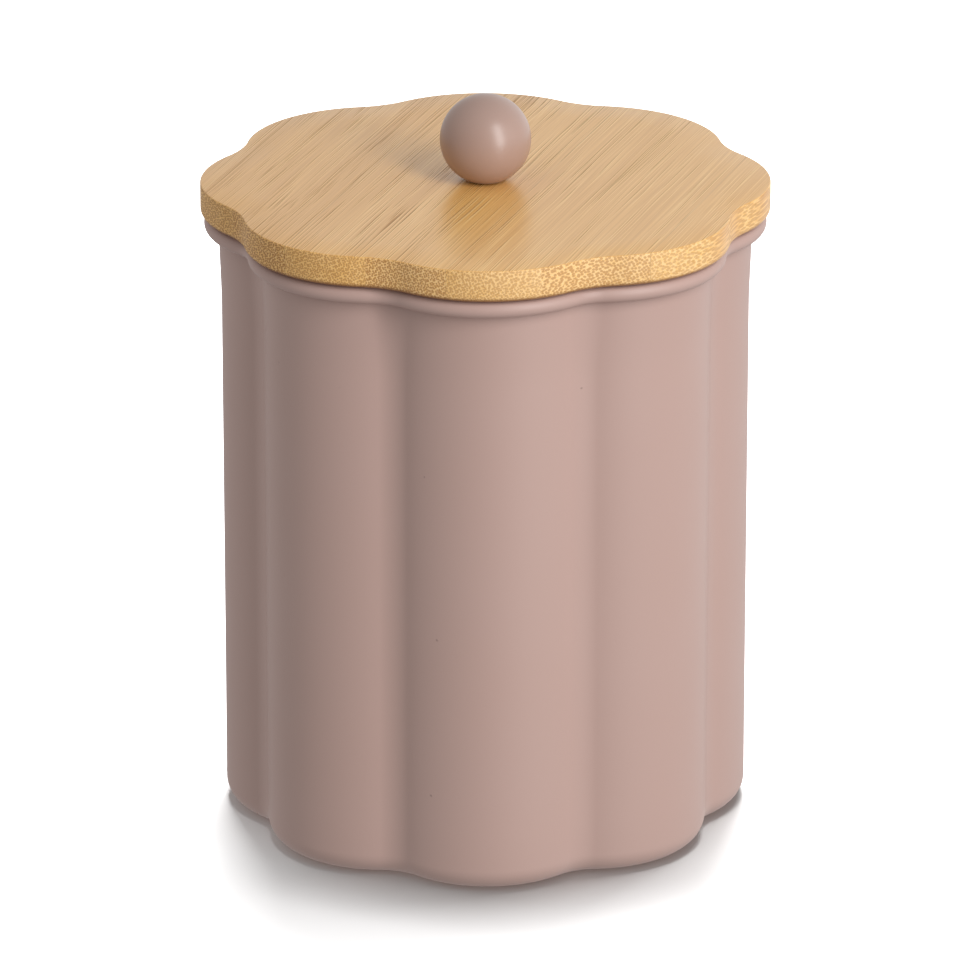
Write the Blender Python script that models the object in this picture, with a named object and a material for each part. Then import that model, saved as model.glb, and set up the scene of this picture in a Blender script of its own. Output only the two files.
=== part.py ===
"""Storage jar: a painted steel can drawn with eight lobes, and a bamboo lid that lifts off.

Lengths are in metres and +Z is up. The origin is the middle of the base, on the surface that the
jar stands on, and a lobe faces -Y.
"""

from math import atan2, cos, pi, radians, sin, sqrt
from typing import NamedTuple

import bmesh
import bpy
import numpy as np

MM = 0.001

# Fits
GAP = 0.3 * MM                      # clear space where one piece lies against another
OVERRUN = 1.0 * MM                  # how far a cutter passes the face that it starts from
WELD = 0.001 * MM                   # points closer than this are one point

# Can, drawn from one sheet
LOBES = 8
CAN_HEIGHT = 137.6 * MM             # standing surface to the top of the rolled rim
CAN_TIP_RADIUS = 58.0 * MM          # axis to the outside of a lobe
CAN_LOBE_RADIUS = 25.2 * MM
CAN_VALLEY_RADIUS = 9.7 * MM
SHEET = 0.6 * MM
FOOT_RADIUS = 5.1 * MM              # round corner between wall and base
BASE_PANEL_RADIUS = 40.0 * MM       # flat round panel, pressed up so that the can stands on a ring
BASE_PANEL_RISE = 1.2 * MM
BASE_STEP_WIDTH = 2.0 * MM

# Rolled rim, and the stretch of wall below it that opens out towards it
BEAD_DIAMETER = 3.8 * MM
RIM_FLARE = 0.5 * MM
RIM_VALLEY_RADIUS = 13.5 * MM
RIM_BLEND_HEIGHT = 22.0 * MM

# Lid board
BOARD_OVERHANG = 0.8 * MM           # how far a lobe of the board reaches past the rolled rim
BOARD_LOBE_RADIUS = 29.3 * MM
BOARD_VALLEY_RADIUS = 21.4 * MM
BOARD_THICKNESS = 7.2 * MM
BOARD_TOP_EASE = 0.3 * MM
BOARD_BOTTOM_RADIUS = 1.4 * MM

# Plug, glued under the lid board, with a groove round it for the seal
PLUG_THICKNESS = 8.0 * MM
PLUG_CLEARANCE = 1.6 * MM           # from the plug's edge to the inside of the can
PLUG_CHAMFER = 0.8 * MM
GROOVE_DEPTH = 2.4 * MM
GROOVE_HEIGHT = 3.6 * MM
GROOVE_SETBACK = 2.0 * MM           # from the plug's underside to the groove

# Seal
LIP_THICKNESS = 0.7 * MM
LIP_RISE = 0.6 * MM                 # how much higher a lip's edge is than its root

# Knob, a ball with a flat that sits on the lid
KNOB_DIAMETER = 20.0 * MM
KNOB_FLAT_DIAMETER = 8.6 * MM

# Wood screw, up through plug and board into the knob
SCREW_DIAMETER = 3.5 * MM
SCREW_GRIP = 10.0 * MM              # length inside the knob
SCREW_POINT = 3.5 * MM
SCREW_HEAD_DIAMETER = 7.0 * MM
SCREW_HEAD_EDGE = 0.4 * MM          # straight edge of the head, under its flat face
SCREW_SINK = 0.3 * MM               # from the plug's underside up to the head's face
RECESS_SPAN = 3.8 * MM              # cross recess, tip to tip
RECESS_SLOT = 0.9 * MM
RECESS_DEPTH = 1.6 * MM
RECESS_TAPER_SHARE = 0.55           # width of the cross at its bottom, as a share of its mouth

# Radii and heights that follow
RIM_TIP_RADIUS = CAN_TIP_RADIUS + RIM_FLARE
BOARD_TIP_RADIUS = RIM_TIP_RADIUS + BEAD_DIAMETER - SHEET + BOARD_OVERHANG
BEAD_RADIUS = BEAD_DIAMETER / 2
BEAD_CENTRE = CAN_HEIGHT - BEAD_RADIUS
BLEND_START = CAN_HEIGHT - RIM_BLEND_HEIGHT
BOARD_BOTTOM = CAN_HEIGHT + GAP
PLUG_DROP = GAP + PLUG_THICKNESS    # from the board's underside down to the plug's
PLUG_BOTTOM = BOARD_BOTTOM - PLUG_DROP
KNOB_SEAT = BOARD_THICKNESS + GAP   # from the board's underside up to the knob's flat
SCREW_LENGTH = PLUG_DROP - SCREW_SINK + KNOB_SEAT + SCREW_GRIP

# Faceting
LOBE_STEPS = 8                      # along one lobe's arc
VALLEY_STEPS = 3
CORNER_STEPS = 4                    # round a quarter of a circle
BLEND_STEPS = 3
BEAD_STEPS = 10
BALL_STEPS = 14                     # pole to flat
ROUND_STEPS = 32                    # round a turned piece
SMOOTH_ANGLE = radians(40)

# Finishes: sRGB colour, roughness, metallic
PINK_PAINT = ("B8A096", 0.42, 0.0)
BAMBOO = ("DDB580", 0.38, 0.0)
BAMBOO_CORE = ("D3AB74", 0.55, 0.0)
SILICONE = ("E9E7E2", 0.5, 0.0)
ZINC_PLATE = ("B9BCC0", 0.32, 1.0)


class Outline(NamedTuple):
    """A closed line round the axis: equal lobes, joined by hollow arcs that they touch smoothly."""

    tip: float                      # axis to the outermost point of a lobe
    lobe: float                     # radius of a lobe's arc
    valley: float                   # radius of the hollow arc between two lobes

    def offset(self, distance):
        """The parallel outline this distance further out, or further in where it is negative."""
        return Outline(self.tip + distance, self.lobe + distance, self.valley - distance)

    def towards(self, other, share):
        """The outline this share of the way from here to the other one."""
        return Outline(*(own + (its - own) * share for own, its in zip(self, other)))

    def points(self):
        """Points round the outline as rows of x and y, alike in number and order on every outline.

        A lobe's arc is centred on the lobe's own axis. The hollow arc's centre lies halfway to the
        next lobe, as far from the lobe's centre as the two radii together, so the arcs are tangent.
        """
        half = pi / LOBES
        lobe_centre = self.tip - self.lobe
        reach = self.lobe + self.valley
        across = lobe_centre * sin(half)
        valley_centre = lobe_centre * cos(half) + sqrt(reach ** 2 - across ** 2)
        swing = atan2(valley_centre * sin(half), valley_centre * cos(half) - lobe_centre)

        out = np.linspace(-swing, swing, LOBE_STEPS + 1)
        lobe = np.column_stack((lobe_centre + self.lobe * np.cos(out), self.lobe * np.sin(out)))
        back = np.linspace(swing, 2 * half - swing, VALLEY_STEPS + 1)[1:-1]
        valley = np.column_stack((valley_centre * cos(half) - self.valley * np.cos(back),
                                  valley_centre * sin(half) - self.valley * np.sin(back)))
        piece = np.vstack((lobe, valley))

        turns = 2 * half * np.arange(LOBES) - pi / 2
        cosine, sine = np.cos(turns)[:, None], np.sin(turns)[:, None]
        x = piece[:, 0] * cosine - piece[:, 1] * sine
        y = piece[:, 0] * sine + piece[:, 1] * cosine
        return np.column_stack((x.ravel(), y.ravel()))


CAN = Outline(CAN_TIP_RADIUS, CAN_LOBE_RADIUS, CAN_VALLEY_RADIUS)
RIM = Outline(RIM_TIP_RADIUS, CAN_LOBE_RADIUS, RIM_VALLEY_RADIUS)
BOARD = Outline(BOARD_TIP_RADIUS, BOARD_LOBE_RADIUS, BOARD_VALLEY_RADIUS)


def at_height(points, height):
    """A ring of x and y points, lifted to this height."""
    return np.column_stack((points, np.full(len(points), height)))


def wall_outline(height):
    """Outside of the can's wall: plain lobes that ease into the wider, softer rim."""
    share = (height - BLEND_START) / (BEAD_CENTRE - BLEND_START)
    share = min(max(share, 0), 1)
    return CAN.towards(RIM, share * share * (3 - 2 * share))


MOUTH = wall_outline(PLUG_BOTTOM).offset(-SHEET)
PLUG = MOUTH.offset(-PLUG_CLEARANCE)


def linear(hex_colour):
    """An sRGB hex colour as the linear RGBA that shaders take."""
    values = [int(hex_colour[at:at + 2], 16) / 255 for at in (0, 2, 4)]
    return [v / 12.92 if v <= 0.04045 else ((v + 0.055) / 1.055) ** 2.4 for v in values] + [1]


def add_material(name, finish):
    """A Principled material from an sRGB colour, a roughness and a metallic value."""
    colour, roughness, metallic = finish
    material = bpy.data.materials.new(name)
    material.use_nodes = True
    shader = material.node_tree.nodes["Principled BSDF"]
    shader.inputs["Base Color"].default_value = linear(colour)
    shader.inputs["Roughness"].default_value = roughness
    shader.inputs["Metallic"].default_value = metallic
    return material


def add_object(name, mesh, parent=None, height=0):
    """Puts a bmesh into the scene as a smooth-shaded object at this height above its parent."""
    data = bpy.data.meshes.new(name)
    mesh.to_mesh(data)
    mesh.free()
    data.shade_smooth()
    data.set_sharp_from_angle(angle=SMOOTH_ANGLE)
    added = bpy.data.objects.new(name, data)
    bpy.context.scene.collection.objects.link(added)
    added.parent = parent
    added.location = (0, 0, height)
    return added


def add_piece(name, mesh, finish, parent=None, height=0):
    """An object with a material of its own."""
    piece = add_object(name, mesh, parent, height)
    piece.data.materials.append(add_material(name, finish))
    return piece


def add_cutter(name, mesh, parent=None, height=0):
    """An object that only shapes others."""
    cutter = add_object(name, mesh, parent, height)
    cutter.hide_render = True
    cutter.display_type = 'WIRE'
    return cutter


def cut(piece, cutter):
    """Takes the cutter's shape out of the piece."""
    boolean = piece.modifiers.new(cutter.name, 'BOOLEAN')
    boolean.operation = 'DIFFERENCE'
    boolean.object = cutter


def loft(rings, closed=False, cap_end=True):
    """Faces from each ring of points to the next, with a flat face over the first ring.

    The rings run anticlockwise seen from above. Where closed, the last ring joins back to the
    first, as in a seal, and nothing is capped.
    """
    mesh = bmesh.new()
    loops = [[mesh.verts.new(point) for point in ring] for ring in rings]
    strips = list(zip(loops, loops[1:]))
    if closed:
        strips.append((loops[-1], loops[0]))
    else:
        mesh.faces.new(reversed(loops[0]))
        if cap_end:
            mesh.faces.new(loops[-1])
    for near, far in strips:
        following = near[1:] + near[:1]
        far_following = far[1:] + far[:1]
        for corners in zip(near, following, far_following, far):
            mesh.faces.new(corners)
    return mesh


def turned(profile):
    """A solid of revolution about Z from (radius, height) points whose two ends lie on the axis."""
    mesh = bmesh.new()
    line = [mesh.verts.new((radius, 0, height)) for radius, height in profile]
    edges = [mesh.edges.new(pair) for pair in zip(line, line[1:])]
    bmesh.ops.spin(mesh, geom=line + edges, cent=(0, 0, 0), axis=(0, 0, 1), angle=2 * pi,
                   steps=ROUND_STEPS, use_merge=True)
    bmesh.ops.remove_doubles(mesh, verts=mesh.verts, dist=WELD)
    bmesh.ops.recalc_face_normals(mesh, faces=mesh.faces)
    return mesh


def lower_round(outline, radius):
    """Rings of a quarter round that rises from flat, this far inside the outline, to upright on it."""
    rings = []
    for angle in np.linspace(0, pi / 2, CORNER_STEPS + 1):
        around = outline.offset(radius * (sin(angle) - 1))
        rings.append(at_height(around.points(), radius * (1 - cos(angle))))
    return rings


def base_rings():
    """The sheet's underside from the raised round panel out to the ring that the can stands on."""
    foot = CAN.offset(-FOOT_RADIUS).points()
    round_ring = foot / np.linalg.norm(foot, axis=1)[:, None]
    panel = at_height(round_ring * BASE_PANEL_RADIUS, BASE_PANEL_RISE)
    step = at_height(round_ring * (BASE_PANEL_RADIUS + BASE_STEP_WIDTH), 0)
    return [panel, step]


def wall_rings():
    """The sheet's outside from the foot's round corner up to where the rim starts to roll."""
    rings = lower_round(CAN, FOOT_RADIUS)
    for height in np.linspace(BLEND_START, BEAD_CENTRE, BLEND_STEPS + 1):
        rings.append(at_height(wall_outline(height).points(), height))
    return rings


def bead_rings():
    """The same face of the sheet as it rolls outwards, over and back down towards the wall.

    Here it is the inner face of the roll. The roll ends where its outer face would come within the
    gap of the wall, so the rim stays the open curl that a press leaves.
    """
    centre = BEAD_RADIUS - SHEET                # out from the wall's outside
    end = -np.arccos((GAP - centre) / BEAD_RADIUS)
    rings = []
    for angle in np.linspace(pi, end, BEAD_STEPS + 1)[1:]:
        outline = RIM.offset(centre + centre * cos(angle))
        rings.append(at_height(outline.points(), BEAD_CENTRE + centre * sin(angle)))
    return rings


def add_can():
    """The can: one sheet, thickened inwards from the face that shows on its wall."""
    skin = loft(base_rings() + wall_rings() + bead_rings(), cap_end=False)
    can = add_piece("canister_body", skin, PINK_PAINT)
    sheet = can.modifiers.new("sheet", 'SOLIDIFY')
    sheet.thickness = SHEET
    sheet.offset = -1
    sheet.use_even_offset = True
    return can


def add_board(lid):
    """The lid's board, rounded over below and only eased above, where its edge is crisp."""
    rings = lower_round(BOARD, BOARD_BOTTOM_RADIUS)
    rings.append(at_height(BOARD.points(), BOARD_THICKNESS - BOARD_TOP_EASE))
    rings.append(at_height(BOARD.offset(-BOARD_TOP_EASE).points(), BOARD_THICKNESS))
    return add_piece("lid_board", loft(rings), BAMBOO, lid)


def add_plug(lid):
    """The plug that drops into the can's mouth, grooved all round."""
    groove_top = GROOVE_SETBACK + GROOVE_HEIGHT
    steps = ((PLUG_CHAMFER, 0), (0, PLUG_CHAMFER), (0, GROOVE_SETBACK),
             (GROOVE_DEPTH, GROOVE_SETBACK), (GROOVE_DEPTH, groove_top), (0, groove_top),
             (0, PLUG_THICKNESS))
    rings = [at_height(PLUG.offset(-inset).points(), height) for inset, height in steps]
    return add_piece("lid_plug", loft(rings), BAMBOO_CORE, lid, -PLUG_DROP)


def add_seal(lid):
    """The seal: a band in the plug's groove with two raised lips that reach for the can's wall."""
    low, high = GAP, GROOVE_HEIGHT - GAP
    back = GROOVE_DEPTH - GAP                   # in from the plug's edge
    reach = GAP - PLUG_CLEARANCE                # out to the lips' edges, so it is negative
    middle = (low + high) / 2
    steps = [(back, low), (0, low)]
    for root in (middle - LIP_THICKNESS, high - LIP_THICKNESS):
        steps += [(0, root), (reach, root + LIP_RISE), (reach, root + LIP_THICKNESS / 2 + LIP_RISE),
                  (0, root + LIP_THICKNESS)]
    steps += [(back, high)]
    rings = [at_height(PLUG.offset(-inset).points(), height) for inset, height in steps]
    return add_piece("lid_seal", loft(rings, closed=True), SILICONE, lid,
                     GROOVE_SETBACK - PLUG_DROP)


def add_knob(lid):
    """The ball, turned with a flat underneath."""
    radius = KNOB_DIAMETER / 2
    flat = KNOB_FLAT_DIAMETER / 2
    centre = sqrt(radius ** 2 - flat ** 2)
    start = -atan2(centre, flat)
    profile = [(0, 0)]
    for angle in np.linspace(start, pi / 2, BALL_STEPS + 1)[:-1]:
        profile.append((radius * cos(angle), centre + radius * sin(angle)))
    profile.append((0, centre + radius))
    return add_piece("knob", turned(profile), PINK_PAINT, lid, KNOB_SEAT)


def screw_profile():
    """The screw from the face of its countersunk head up to its point."""
    head = SCREW_HEAD_DIAMETER / 2
    shank = SCREW_DIAMETER / 2
    under_head = SCREW_HEAD_EDGE + head - shank
    return [(0, 0), (head, 0), (head, SCREW_HEAD_EDGE), (shank, under_head),
            (shank, SCREW_LENGTH - SCREW_POINT), (0, SCREW_LENGTH)]


def bore_profile():
    """The hole for the screw, the gap wider all round, countersunk and with a blind flat end."""
    head = SCREW_HEAD_DIAMETER / 2 + GAP
    shank = SCREW_DIAMETER / 2 + GAP
    head_edge = SCREW_HEAD_EDGE + GAP * (sqrt(2) - 1)   # a 45 degree cone moved out by the gap
    under_head = head_edge + head - shank
    end = SCREW_LENGTH + GAP
    return [(0, -OVERRUN), (head, -OVERRUN), (head, head_edge), (shank, under_head),
            (shank, end), (0, end)]


def cross_ring(share, height):
    """A cross, anticlockwise, with its size at this share of the recess's mouth."""
    tip = share * RECESS_SPAN / 2
    side = share * RECESS_SLOT / 2
    arm = [(tip, -side), (tip, side), (side, side)]
    corners = []
    for quarter in range(4):
        cosine, sine = cos(quarter * pi / 2), sin(quarter * pi / 2)
        corners += [(x * cosine - y * sine, x * sine + y * cosine) for x, y in arm]
    return at_height(np.array(corners), height)


def add_screw(lid, height):
    """The wood screw with its cross recess."""
    screw = add_piece("knob_screw", turned(screw_profile()), ZINC_PLATE, lid, height)
    recess = loft([cross_ring(1, -OVERRUN), cross_ring(1, 0),
                   cross_ring(RECESS_TAPER_SHARE, RECESS_DEPTH)])
    cut(screw, add_cutter("cross_recess", recess, lid, height))
    return screw


def add_lid():
    """Everything that lifts off, under an empty on the lift's axis at the board's underside."""
    lid = bpy.data.objects.new("lid", None)
    bpy.context.scene.collection.objects.link(lid)
    lid.location = (0, 0, BOARD_BOTTOM)
    board, plug, knob = add_board(lid), add_plug(lid), add_knob(lid)
    add_seal(lid)
    head_height = SCREW_SINK - PLUG_DROP
    bore = add_cutter("screw_bore", turned(bore_profile()), lid, head_height)
    for piece in (board, plug, knob):
        cut(piece, bore)
    add_screw(lid, head_height)


def main():
    for old in list(bpy.data.objects):
        bpy.data.objects.remove(old, do_unlink=True)
    add_can()
    add_lid()


main()
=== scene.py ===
# %% [markdown]
# # A lobed steel canister with a bamboo lid
#
# This file dresses a storage jar whose pieces already exist as plain faceted solids: an eight-lobed
# can drawn from sheet steel and powder coated dusty pink, and a lid made of a bamboo board, a plug
# with a silicone seal, a painted ball knob and the screw that holds it. The solids settle every
# size. What is made here is the fine surface of each piece and the finish on it.
#
# Nearly every piece of this jar is a profile carried round one closed line, the lobed line or a
# circle. So the whole file rests on two short functions: one for the lobed line, one that puts a
# skin through rings of points.

from math import atan2, cos, pi, radians, sin, sqrt
from types import SimpleNamespace

import bpy
import numpy as np
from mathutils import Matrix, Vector


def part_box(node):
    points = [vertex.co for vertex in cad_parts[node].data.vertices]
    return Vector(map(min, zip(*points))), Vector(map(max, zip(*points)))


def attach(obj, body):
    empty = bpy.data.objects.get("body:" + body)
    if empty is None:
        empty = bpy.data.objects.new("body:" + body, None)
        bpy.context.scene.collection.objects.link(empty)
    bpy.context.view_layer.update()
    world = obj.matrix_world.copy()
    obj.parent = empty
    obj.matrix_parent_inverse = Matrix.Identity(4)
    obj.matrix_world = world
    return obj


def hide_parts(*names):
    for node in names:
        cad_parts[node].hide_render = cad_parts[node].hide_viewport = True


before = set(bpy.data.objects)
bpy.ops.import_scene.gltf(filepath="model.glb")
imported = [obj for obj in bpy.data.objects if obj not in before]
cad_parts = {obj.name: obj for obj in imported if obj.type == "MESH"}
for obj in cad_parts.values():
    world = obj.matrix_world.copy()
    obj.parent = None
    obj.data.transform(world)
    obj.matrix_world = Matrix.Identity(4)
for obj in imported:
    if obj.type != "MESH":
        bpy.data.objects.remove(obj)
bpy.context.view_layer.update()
MM = 0.001
print("solids:", sorted(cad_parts))

# %% [markdown]
# ## The camera
#
# The picture was taken with a long lens from well above the lid, so the jar's sides stay nearly
# parallel. Thirty lid radii away and twenty degrees up reproduce how wide the lid's ellipse is next
# to the foot's. A camera in Blender looks along its own -Z with +Y up, which is what to_track_quat
# is told here.

# %% Place the camera
CAMERA_ELEVATION = radians(20.31)
CAMERA_AZIMUTH = radians(-0.7)  # a little towards -X, so the jar shows as turned slightly
CAMERA_DISTANCE = 1.875
AIM = Vector((-1.2, 0, 74.9)) * MM
LENS = 316.97  # in millimetres, on the sensor below
SENSOR = 36.0


def in_scene(name, data):
    """An object in the scene that has this camera, lamp or mesh as its data."""
    thing = bpy.data.objects.new(name, data)
    bpy.context.scene.collection.objects.link(thing)
    return thing


def look_at(thing, subject, distance, azimuth, elevation):
    """Puts a camera or lamp where it faces the subject: azimuth 0 is -Y, a quarter turn is +X."""
    level = cos(elevation)
    towards = Vector((sin(azimuth) * level, -cos(azimuth) * level, sin(elevation)))
    thing.location = subject + distance * towards
    thing.rotation_mode = 'QUATERNION'
    thing.rotation_quaternion = towards.to_track_quat('Z', 'Y')


def add_camera():
    """A camera that looks at AIM from the photograph's side."""
    data = bpy.data.cameras.new("camera")
    data.lens, data.sensor_width = LENS, SENSOR
    camera = in_scene("camera", data)
    look_at(camera, AIM, CAMERA_DISTANCE, CAMERA_AZIMUTH, CAMERA_ELEVATION)
    bpy.context.scene.camera = camera
    return camera


print("camera at", [round(v, 3) for v in add_camera().location])

# %% [markdown]
# ## The lobed line
#
# Seen from above, the can and the lid are both eight equal arcs that bulge, joined by eight hollow
# ones. It could be a sine wave round a circle, but pressing tools are cut as arcs, and arcs
# keep each valley as tight as the real one. Where two arcs are tangent, their centres lie on one
# line through the touching point, so the hollow arc's centre is as far from a lobe's centre as the
# two radii together. Turning a point in the plane is one multiplication if the point is written as
# a complex number, which is how one lobe becomes eight.

# %% The lobed line as whole arrays
LOBES = 8
LOBE_POINTS = 34  # along one lobe's arc
VALLEY_POINTS = 14  # along one hollow arc, between its two ends


def lobed(tip, lobe, valley):
    """Rings x points, each a complex number x + iy, for arrays of radii.

    tip is from the axis to the outside of a lobe, lobe and valley are the two arcs' own radii. A
    lobe's arc is c + lobe * exp(i a) about its centre c, and the hollow arc is
    h * exp(i pi / 8) - valley * exp(i b) about its centre, with b running on from where a ends.
    """
    sizes = np.broadcast_arrays(tip, lobe, valley)
    tip, lobe, valley = (np.atleast_1d(size)[:, None] for size in sizes)
    half = pi / LOBES
    lobe_centre = tip - lobe
    across = lobe_centre * sin(half)
    valley_centre = lobe_centre * cos(half) + np.sqrt((lobe + valley) ** 2 - across ** 2)
    swing = np.arctan2(valley_centre * sin(half), valley_centre * cos(half) - lobe_centre)
    out = swing * np.linspace(-1, 1, LOBE_POINTS)
    back = swing + (2 * half - 2 * swing) * np.linspace(0, 1, VALLEY_POINTS + 2)[1:-1]
    bulge = lobe_centre + lobe * np.exp(1j * out)
    hollow = valley_centre * np.exp(1j * half) - valley * np.exp(1j * back)
    piece = np.hstack((bulge, hollow))
    turns = np.exp(1j * (2 * half * np.arange(LOBES) - pi / 2))
    return (piece[:, None, :] * turns[:, None]).reshape(len(piece), -1)


def offset(sizes, distance):
    """The radii of the parallel line this much further out: bulges grow and hollows shrink."""
    tip, lobe, valley = sizes
    return tip + distance, lobe + distance, valley - distance


def at(line, height):
    """Rings of complex x + iy, lifted to one height each, as rings x points x 3."""
    line = np.atleast_2d(line)
    height = np.broadcast_to(np.reshape(height, (-1, 1)), line.shape)
    return np.dstack((line.real, line.imag, height))


def round_rings(line, radii):
    """Round rings of these radii, each point on the same ray from the axis as on the given line."""
    return np.atleast_1d(radii)[:, None] * (line / abs(line))


def ease(share):
    """Goes from 0 to 1 with no slope at either end: 3 s^2 - 2 s^3."""
    return share * share * (3 - 2 * share)


print("points round one lobed ring:", lobed(58 * MM, 25 * MM, 10 * MM).shape[1])

# %% [markdown]
# ## A skin through rings
#
# A skin could be lofted with bridge_loops, one pair of rings at a time. Numpy takes one step:
# number the points ring by ring, and the corners of every face are the same four offsets from its
# first corner. Every ring here runs anticlockwise seen from above. If the rings then go from the
# middle of the underside outwards, up and back in over the top, each face looks outwards without
# any later repair. The signed volume printed for each piece proves that: it would be negative if
# the skin were inside out.

# %% Turn rings into a closed mesh
SHARP_ANGLE = radians(38)


def signed_volume(points, triangles):
    """A sixth of the sum of a . (b x c) over all triangles, positive when they face outwards."""
    a, b, c = (points[triangles[:, corner]] for corner in range(3))
    return float((a * np.cross(b, c)).sum() / 6)


def skin(name, rings, ends=None):
    """A closed mesh object through rings, an array of rings x points x 3.

    With ends, two points on the axis, the first and last rings are closed by fans of triangles.
    Without ends, the last ring joins back to the first, as round a tyre.
    """
    count, width = rings.shape[:2]
    number = np.arange(count * width).reshape(count, width)
    following = np.roll(number, -1, axis=1)
    points = rings.reshape(-1, 3)
    if ends is None:
        near, near_next = number, following
        far, far_next = np.roll(number, -1, axis=0), np.roll(following, -1, axis=0)
        fans = np.empty((0, 3), int)
    else:
        near, near_next, far, far_next = number[:-1], following[:-1], number[1:], following[1:]
        first, last = np.full(width, count * width), np.full(width, count * width + 1)
        fans = np.vstack((np.column_stack((first, following[0], number[0])),
                          np.column_stack((last, number[-1], following[-1]))))
        points = np.vstack((points, ends))
    quads = np.dstack((near, near_next, far_next, far)).reshape(-1, 4)
    mesh = bpy.data.meshes.new(name)
    mesh.from_pydata(points.tolist(), [], quads.tolist() + fans.tolist())
    mesh.shade_smooth()
    mesh.set_sharp_from_angle(angle=SHARP_ANGLE)
    piece = in_scene(name, mesh)
    triangles = np.vstack((quads[:, [0, 1, 2]], quads[:, [0, 2, 3]], fans))
    volume = signed_volume(points, triangles) / MM ** 3 / 1000
    print(f"{name}: {len(triangles)} triangles, {volume:.2f} cubic centimetres")
    return piece


def stand_for(piece, body, node):
    """The piece moves with the body and is shown in the node's place, which is hidden."""
    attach(piece, body)
    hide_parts(node)
    return piece


# %% [markdown]
# ## The can
#
# The real can is one disc of 0.6 mm steel. A press draws it into a lobed cup, leaves a round corner
# at the foot, dishes the middle of the base so that it stands on a ring, opens the last 22 mm of
# wall towards the rim and rolls the edge outwards into a bead. It could be a skin with a Solidify
# modifier, as in the plain solid. Here both faces are written out instead, because then the bead's
# curl, the cut edge inside it and the floor all get as many rings as their curves need.
#
# The roll keeps the sheet's thickness: its outside is an arc of the bead's radius, its inside an
# arc that is one sheet smaller about the same centre.

# %% Sizes of the can
CAN_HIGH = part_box("canister_body")[1]
CAN_HEIGHT = CAN_HIGH.z
SHEET = 0.6 * MM
BEAD_RADIUS = 1.9 * MM
CURL_RADIUS = BEAD_RADIUS - SHEET  # the inside of the roll
CURL_GAP = 0.3 * MM  # from the end of the roll to the wall
RIM_FLARE = 0.5 * MM
RIM_BLEND_HEIGHT = 22.0 * MM
FOOT_RADIUS = 5.1 * MM
PANEL_RADIUS = 40.0 * MM
PANEL_RISE = 1.2 * MM
PANEL_STEP = 2.0 * MM
CAN_TIP = CAN_HIGH.x - RIM_FLARE - CURL_RADIUS - BEAD_RADIUS
CAN = np.array((CAN_TIP, 25.2 * MM, 9.7 * MM))  # tip, lobe and valley, as lobed() takes them
RIM = np.array((CAN_TIP + RIM_FLARE, 25.2 * MM, 13.5 * MM))
BEAD_CENTRE = CAN_HEIGHT - BEAD_RADIUS
BLEND_START = CAN_HEIGHT - RIM_BLEND_HEIGHT


def wall_sizes(height):
    """Radii of the can's outside at these heights: plain lobes that ease into the softer rim."""
    share = ease(np.clip((height - BLEND_START) / (BEAD_CENTRE - BLEND_START), 0, 1))
    return tuple(can + (rim - can) * share for can, rim in zip(CAN, RIM))


print("can in mm: height", round(CAN_HEIGHT / MM, 2), "tip radius", round(CAN_TIP / MM, 2))

# %% Carry the can's profile round its lobes
PANEL_RINGS = 5  # over the flat of the raised panel
STEP_RINGS = 9  # down from it to the standing ring
CORNER_RINGS = 12
STRAIGHT_RINGS = 14
BLEND_RINGS = 20
ROLL_RINGS = 26


def panel_rings(line, lift):
    """Rings of the dished base, from its middle to the standing ring, lifted off its outside."""
    share = np.linspace(0, 1, STEP_RINGS)
    flat = np.linspace(0.1, 0.9, PANEL_RINGS) * PANEL_RADIUS
    radii = np.append(flat, PANEL_RADIUS + PANEL_STEP * share)
    heights = np.append(np.full(PANEL_RINGS, PANEL_RISE), PANEL_RISE * (1 - ease(share)))
    return at(round_rings(line, radii), heights + lift)


def add_can():
    """The can: out under the base, up the wall, round the roll, and back down inside."""
    foot = lobed(*offset(CAN, -FOOT_RADIUS))
    quarter = np.linspace(0, pi / 2, CORNER_RINGS)
    outer_foot = at(lobed(*offset(CAN, FOOT_RADIUS * (np.sin(quarter) - 1))),
                    FOOT_RADIUS * (1 - np.cos(quarter)))
    inner = FOOT_RADIUS - SHEET
    inner_foot = at(lobed(*offset(CAN, inner * np.sin(quarter) - FOOT_RADIUS)),
                    FOOT_RADIUS - inner * np.cos(quarter))
    heights = np.append(np.linspace(FOOT_RADIUS, BLEND_START, STRAIGHT_RINGS)[1:-1],
                        np.linspace(BLEND_START, BEAD_CENTRE, BLEND_RINGS))
    outer_wall = at(lobed(*wall_sizes(heights)), heights)
    inner_wall = at(lobed(*offset(wall_sizes(heights), -SHEET)), heights)
    roll_end = -np.arccos((CURL_GAP - CURL_RADIUS) / BEAD_RADIUS)
    roll = np.linspace(pi, roll_end, ROLL_RINGS)
    inside_roll, outside_roll = (
        at(lobed(*offset(RIM, CURL_RADIUS + radius * np.cos(roll))),
           BEAD_CENTRE + radius * np.sin(roll))
        for radius in (CURL_RADIUS, BEAD_RADIUS))
    rings = np.vstack((
        panel_rings(foot, 0), outer_foot, outer_wall, inside_roll[1:], outside_roll[:0:-1],
        inner_wall[::-1], inner_foot[::-1], panel_rings(foot, SHEET)[::-1]))
    middle = [(0, 0, PANEL_RISE), (0, 0, PANEL_RISE + SHEET)]
    can = skin("canister_skin", rings, middle)
    return stand_for(can, "canister", "canister_body")


can = add_can()

# %% [markdown]
# ## The lid's two boards
#
# The lid is a flat board of laminated bamboo, cut to the lobed line with a router. Its top edge is
# left almost crisp and its lower edge is rounded over. Glued under it is a smaller board, the plug,
# which drops into the mouth and has a groove round it for the seal. Both have the screw's hole down
# the middle, so each is a ring like a very flat tyre: the profile goes out along the underside, up
# the edge, in over the top and down the hole. A boolean would cut the hole too, but then the flat
# faces would be split at random and the rims would need cleaning.

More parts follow.
